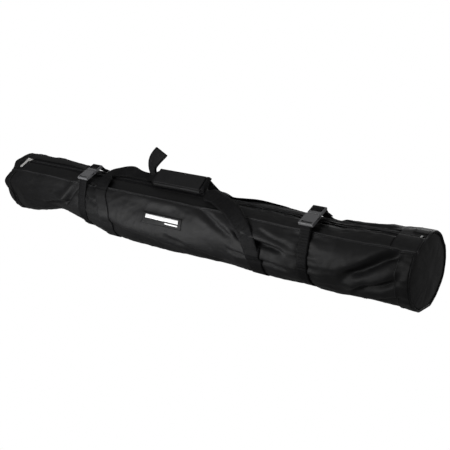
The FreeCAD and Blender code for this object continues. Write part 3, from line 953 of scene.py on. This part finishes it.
# %% How webbing runs round the case
STRAP_W, STRAP_T = 25.0, 1.6
HANDLE_W, HANDLE_T = 38.0, 1.8
BUCKLE_ANGLE = 62.0
BUCKLE_H0 = RADIUS + 8.0     # height of the buckle's underside above the tube's centre line
FLOOR_CLEAR = 1.3            # the middle of the webbing stays this far above the floor


def firm_radius(x, angle, width):
    """Radius of the highest cloth under webbing of that width."""
    return max(cloth_radius(x + dx, angle) for dx in (-0.45 * width, 0.0, 0.45 * width))


def strap_rails(x, width, places, shift=lambda angle: 0.0):
    """Rails for webbing that runs round the case, from (angle, radius) places in millimetres."""
    rails = []
    for angle, r in places:
        a = math.radians(angle)
        y, z = -r * math.cos(a), max(AXIS_Z + r * math.sin(a), FLOOR_CLEAR)
        dx = shift(angle)
        rails.append(((x + dx - width / 2, y, z), (x + dx + width / 2, y, z)))
    return rails


def beside_buckle(t, h):
    """(angle, radius) of a place t round from the buckle's middle, at height h there."""
    return BUCKLE_ANGLE + math.degrees(math.atan2(t, h)), math.hypot(t, h)


def taut_run(x, start, toward, low_angle):
    """Places from a start above the cloth, straight to where the webbing touches, then on the cloth."""
    a0, r0 = start
    touch_r = firm_radius(x, a0 + toward * 32.0, STRAP_W) + 1.0
    reach = math.degrees(math.acos(touch_r / r0))
    touch = a0 + toward * reach
    count = max(6, round(abs(low_angle - a0) / 4.0))
    places = []
    for i in range(count + 1):
        a = a0 + (low_angle - a0) * i / count
        on = firm_radius(x, a, STRAP_W) + 1.4
        if (touch - a) * toward > 0:
            on = max(on if abs(a - ZIP_ANGLE) > 10 else 0.0,
                     touch_r / math.cos(math.radians(a - touch)))
        places.append((a, on))
    return places


print("buckle underside", round(BUCKLE_H0 - RADIUS, 1), "mm off the tube")

# %% [markdown]
# The rear run goes from beside the buckle down the rear to where the strap is sewn under the case; it
# is built in place. The spare end lies over it and rides on the plug.

# %% Compression straps
for end, x in STRAP_X.items():
    under = [(a, firm_radius(x, a, STRAP_W) + 1.3) for a in range(200, 345, 5)]
    base = turn_uv(ribbon(end + "_strap_under", strap_rails(x, STRAP_W, under), STRAP_T))
    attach(base, "root")
    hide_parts(end + "_strap_base")

    start = beside_buckle(-25.0, BUCKLE_H0 + 3.4)
    run = taut_run(x, start, -1, -21.0)
    front = turn_uv(ribbon(end + "_strap_over", strap_rails(x, STRAP_W, run), STRAP_T))
    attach(front, "root")
    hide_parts(end + "_strap_front")

    start = beside_buckle(23.0, BUCKLE_H0 + 3.0)
    run = taut_run(x, start, 1, 202.0)
    rear = turn_uv(ribbon(end + "_strap_behind", strap_rails(x, STRAP_W, run), STRAP_T))
    plug_at = off_tube(x, start[0] + 6.0, 8.0)
    sewn_at = off_tube(x, 165.0, 2.0)
    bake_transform(rear)
    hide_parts(end + "_strap_rear")

    free = [beside_buckle(14.0, BUCKLE_H0 + 7.6), beside_buckle(22.0, BUCKLE_H0 + 7.8),
            beside_buckle(30.0, BUCKLE_H0 + 5.6)] + [(a, r + 3.2) for a, r in run[3:8]]
    tail = turn_uv(ribbon(end + "_strap_end", strap_rails(x, STRAP_W, free), STRAP_T))
    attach(tail, end + "_plug")
    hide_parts(end + "_strap_tail")
print("straps at", STRAP_X)

# %% [markdown]
# ## Carry handle
# The handle is one long webbing: it comes up from under the case, passes through the wrapped grip and
# goes down again. A leg that lies near the case is given by angle and height, and a place inside the
# grip by how far along, across and out of the grip it is.


# %% Places on the case and in the grip
def leg_rails(path):
    """Rails from (x, angle, lift, lean) with the webbing facing outwards, leaned about its run."""
    centres = []
    for x, angle, lift, lean in path:
        a = math.radians(angle)
        centres.append(Vector((x, -(RADIUS + lift) * math.cos(a), AXIS_Z + (RADIUS + lift) * math.sin(a))))
    rails = []
    for i, (c, (x, angle, lift, lean)) in enumerate(zip(centres, path)):
        along = (centres[min(i + 1, len(centres) - 1)] - centres[max(i - 1, 0)]).normalized()
        out = Vector((0, c.y, c.z - AXIS_Z)).normalized()
        across = along.cross(out).normalized()
        across.rotate(Matrix.Rotation(math.radians(lean), 3, along))
        rails.append((tuple(c - across * HANDLE_W / 2), tuple(c + across * HANDLE_W / 2)))
    return rails


grip_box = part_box("grip_wrap")
GRIP_MID = Vector((0, (grip_box[0][1] + grip_box[1][1]) / 2, (grip_box[0][2] + grip_box[1][2]) / 2)) / MM
TILT = math.radians(45.0)
GRIP_W_DIR = Vector((0, math.cos(TILT), math.sin(TILT)))
GRIP_N_DIR = Vector((0, -math.sin(TILT), math.cos(TILT)))
GRIP_X0, GRIP_X1 = grip_box[0][0] / MM, grip_box[1][0] / MM


def in_grip(x, w, n):
    """Point in the leaning grip: along it, across it and out of its upper face, in millimetres."""
    return GRIP_MID + Vector((x, 0, 0)) + GRIP_W_DIR * w + GRIP_N_DIR * n


def grip_rail(x, n):
    return tuple(in_grip(x, HANDLE_W / 2, n)), tuple(in_grip(x, -HANDLE_W / 2, n))


def swap(rails):
    return [(b, a) for a, b in rails]


print("grip from", GRIP_X0, "to", GRIP_X1, "at height", round(GRIP_MID.z, 1), "mm")

# %% [markdown]
# Where a leg hangs slack it arches and twists. A simulation would settle it, but two given rails
# describe a twist just as well and never change. Each leg is built in place from the grip to its sewn end.

# %% Handle legs
G0, G1 = GRIP_X0, GRIP_X1
legs = {
    "front_leg_near": [grip_rail(G1 - 8, 0.5), grip_rail(G1 + 6, 0.0)] + swap(leg_rails([
        (98, 66, 11, 0), (122, 63, 7, 0), (148, 56, 5.5, 0), (178, 46, 5.5, 0), (208, 31, 6, 0),
        (234, 15, 8, 0), (252, -4, 9, 0), (258, -24, 8.5, 0)])),
    "rear_leg_near": [grip_rail(G1 - 8, -1.8), grip_rail(G1 + 6, -3.0)] + swap(leg_rails([
        (98, 98, 2, -6), (126, 110, -7, 0), (158, 117, -6, 0), (196, 119, -3, 0), (232, 124, -4, 0),
        (254, 138, 0, 0), (258, 158, 5, 0), (258, 176, 6, 0), (258, 190, 6, 0)])),
    "front_leg_far": [grip_rail(G0 + 8, 0.5), grip_rail(G0 - 6, 0.0),
                      ((G0 - 26, 3, 174), (G0 - 26, -18, 153)), ((-128, 7, 167), (-130, -11, 149)),
                      ((-156, 7, 169), (-157, -9, 149)), ((-178, 5, 176.5), (-180, -11, 151)),
                      ((-201, 3, 175), (-204, -17, 150)), ((-228, 0, 168), (-220, -28, 149)),
                      ((-249, -9, 161), (-222, -38, 149)), ((-253, -28, 152), (-213, -43, 149)),
                      ((-248, -49, 144), (-207, -52, 146)), ((-246, -62, 132), (-206, -63, 134)),
                      ((-247, -70, 119), (-208, -70, 121))],
    "rear_leg_far": [grip_rail(G0 + 8, -1.8), grip_rail(G0 - 6, -3.0)] + leg_rails([
        (G0 - 28, 100, 7, 0), (-136, 110, 6, 0), (-164, 124, 7, 0), (-186, 142, 8, 0), (-198, 162, 8, 0),
        (-200, 178, 8, 0), (-200, 192, 8, 0)]),
}
for name, rails in legs.items():
    leg = turn_uv(ribbon(name + "_webbing", rails, HANDLE_T, rows=7))
    sewn = Vector(rails[-3][0]) * MM
    held = Vector(rails[1][0]) * MM
    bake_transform(leg)
    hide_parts(name)
print("legs:", sorted(legs))

# %% [markdown]
# The legs meet two bands that are sewn round the underside. The far one reaches higher in front, where
# it leans away to one side, and it is finished in body cloth rather than webbing.


# %% Handle bands
def band_shift(end, angle):
    return -26.0 * ease((angle - 356.0) / 40.0) if end == "far" else 0.0


BAND_TOP = {"far": 398, "near": 362}
for end, x in BAND_X.items():
    places = [(a, firm_radius(x + band_shift(end, a), a, HANDLE_W) + 1.3)
              for a in range(178, BAND_TOP[end], 5)]
    rails = strap_rails(x, HANDLE_W, places, lambda a: band_shift(end, a))
    band = turn_uv(ribbon(end + "_handle_band", rails, HANDLE_T, rows=7))
    if end == "far":
        band.data.materials[0] = CLOTH
    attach(band, "root")
    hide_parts("handle_band_" + end)
print("bands at", BAND_X)

# %% [markdown]
# The grip is a padded cloth wrap closed by hook-and-loop. A grid is rolled into a tube with a flat,
# round-ended section, and the doubled vertices of its seam are merged.


# %% The wrap
def grip_section(t, x):
    """Round-ended flat section of the wrap, a little fuller in the middle of its length."""
    w, n, squareness = 22.0, 5.5, 0.55
    c, s = math.cos(t), math.sin(t)
    full = 1.0 + 0.06 * math.cos((x - (GRIP_X0 + GRIP_X1) / 2) / 60.0)
    dw = 0.5 * wave(x / 16.0, t, 2.0)
    dn = 0.5 * wave(x / 22.0, t * 1.5, 8.0)
    return (math.copysign(abs(c) ** squareness, c) * (w + dw),
            math.copysign(abs(s) ** squareness, s) * (n * full + dn))


def wrap_place(u, v):
    x = GRIP_X0 + (GRIP_X1 - GRIP_X0) * u
    w, n = grip_section(2 * math.pi * v, x)
    return in_grip(x, w, n) * MM


wrap = grid_piece("grip_wrap_cloth", 60, 56, wrap_place, (14.6, 10.6), CLOTH, 1.6, -1.0)
bm = bmesh.new()
bm.from_mesh(wrap.data)
bmesh.ops.remove_doubles(bm, verts=bm.verts, dist=0.00002)
bmesh.ops.recalc_face_normals(bm, faces=bm.faces)
bm.to_mesh(wrap.data)
bm.free()
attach(wrap, "grip")
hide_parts("grip_wrap")
print("wrap:", len(wrap.data.polygons), "faces")

# %% [markdown]
# The flap lies on the upper face and turns about its rear edge, where a narrow strip of cloth folds over
# the wrap. Its hook strip rides with it, and the loop strip stays on the grip.


# %% Flap, hook and loop
def grip_sheet(name, body, x0, x1, w0, w1, n, material, thickness, ripple=0.0):
    def place(u, v):
        x, w = x0 + (x1 - x0) * u, w0 + (w1 - w0) * v
        lift = ripple * wave(x / 20.0, w / 12.0, 3.0)
        return in_grip(x, w, n + lift) * MM
    sheet = grid_piece(name, 56, 20, place, ((x1 - x0) / 10, (w1 - w0) / 10), material, thickness, 0.0)
    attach(sheet, body)
    return sheet


flap = grip_sheet("wrap_flap_cloth", "wrap_flap", G0 + 1, G1 - 1, -18.0, 20.5, 8.0, CLOTH, 1.2, 0.5)
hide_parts("wrap_flap")
FOLD_LINE = [(21.2, 6.3), (21.9, 5.6), (22.5, 4.4), (22.7, 2.4)]    # across and out of the grip


def fold_place(u, v):
    """The flap's hinge: cloth that turns over the wrap's rear edge."""
    i = min(int(v * 3), 2)
    (w0, n0), (w1, n1) = FOLD_LINE[i], FOLD_LINE[i + 1]
    t = v * 3 - i
    return in_grip(G0 + 1 + (G1 - G0 - 2) * u, w0 + (w1 - w0) * t, n0 + (n1 - n0) * t) * MM


hinge_cloth = grid_piece("wrap_fold_cloth", 56, 9, fold_place, (14.4, 0.9), CLOTH, 0.9, 0.0)
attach(hinge_cloth, "grip")
hook = grip_sheet("hook_face", "wrap_flap", G0 + 5, G1 - 5, -14.0, 10.0, 6.9, TAPE, 0.7)
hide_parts("hook_strip")
loop = grip_sheet("loop_face", "grip", G0 + 4, G1 - 4, -14.0, 10.0, 6.05, TAPE, 0.6)
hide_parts("loop_strip")
print("flap, hook strip and loop strip on the grip")

# %% [markdown]
# Two layers of webbing run through the wrap, and the rear one curls back at the near end. Beside the far
# end a bight of slack stands up: one rail for each edge, over the top and down again.

# %% Webbing in the grip and the slack bight
inner = {
    "grip_webbing_front": [grip_rail(x, 1.4) for x in (G0 - 4, G0 + 26, -20, 20, G1 - 10, G1 + 4)],
    "grip_webbing_rear": [grip_rail(G0 - 4, -1.4), grip_rail(-20, -1.4), grip_rail(G1 - 8, -1.4)] + [
        grip_rail(G1 + dx, n) for dx, n in ((2, -0.6), (10, 2.5), (13.5, 7.0), (10, 11.0), (4.5, 10.0))],
}
for name, rails in inner.items():
    through = turn_uv(ribbon(name + "_run", rails, 1.7))
    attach(through, "grip")
    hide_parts(name)

up = [((-112, 0, 158), (-98, 0, 160)), ((-122, 0, 167), (-104, 0, 168)),
      ((-127.5, -1, 183), (-107, 0, 181)), ((-127.7, -1, 200), (-100.3, 0, 190.4)),
      ((-122.8, 0, 213.8), (-87, 0, 203.3)), ((-114.4, 0, 224.7), (-77.2, 0, 211.9)),
      ((-105.4, 0, 233.6), (-71.5, 0, 218.0))]
over = [((-104.0, 1.8, 234.8), (-70.4, 1.8, 219.1))]
down = [[(p[0] + 1.5, p[1] + 3.6, p[2] - 0.4) for p in pair] for pair in reversed(up)]
bight = turn_uv(ribbon("handle_bight", up + over + down, 1.6, rows=6))
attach(bight, "grip")
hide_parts("handle_loop")
print("webbing in the grip:", sorted(inner), "and a bight", round(over[0][0][2]), "mm high")

# %% [markdown]
# ## Label
# A sewn patch carries a printed mark, which is left plain: two pale bars with nothing written on them.

# %% Label
patch = cloth_panel("label_cloth", -64.0, 58.0, -4.0, 14.0, lift=0.9, thickness=0.8, inside=None)
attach(patch, "root")
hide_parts("blank_label")
for name, x0, x1, a0, a1 in (("label_bar_long", -54.0, 48.0, 4.5, 10.5),
                             ("label_bar_short", 8.0, 48.0, 0.2, 2.4)):
    bar = cloth_panel(name, x0, x1, a0, a1, lift=1.15, material=INK, thickness=0.2, inside=None)
    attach(bar, "root")
print("a patch with two plain bars")

# %% [markdown]
# ## Hard parts
# Buckles, slider, pull and stops keep the exact shape of the engineering model. They only need a finish
# and softened edges.


# %% Hard parts
def finish_node(node, material, soft_edge):
    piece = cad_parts[node]
    for slot in piece.material_slots:
        slot.link = "OBJECT"
        slot.material = material
    if soft_edge:
        mod = piece.modifiers.new("soft_edges", "BEVEL")
        mod.width = soft_edge * MM
        mod.segments = 2
        mod.limit_method = "ANGLE"
        mod.angle_limit = math.radians(40)


for end in ("far", "near"):
    for part in ("buckle_female", "buckle_male", "buckle_arm_left", "buckle_arm_right"):
        finish_node(f"{end}_{part}", BUCKLE, 0.4)
    finish_node(end + "_zip_stop", STOP, 0.2)
    finish_node(end + "_stiffener", BOARD, 0.0)
for node in ("slider_body", "slider_bail", "pull_tab"):
    finish_node(node, NICKEL, 0.15)
print("hard parts finished")
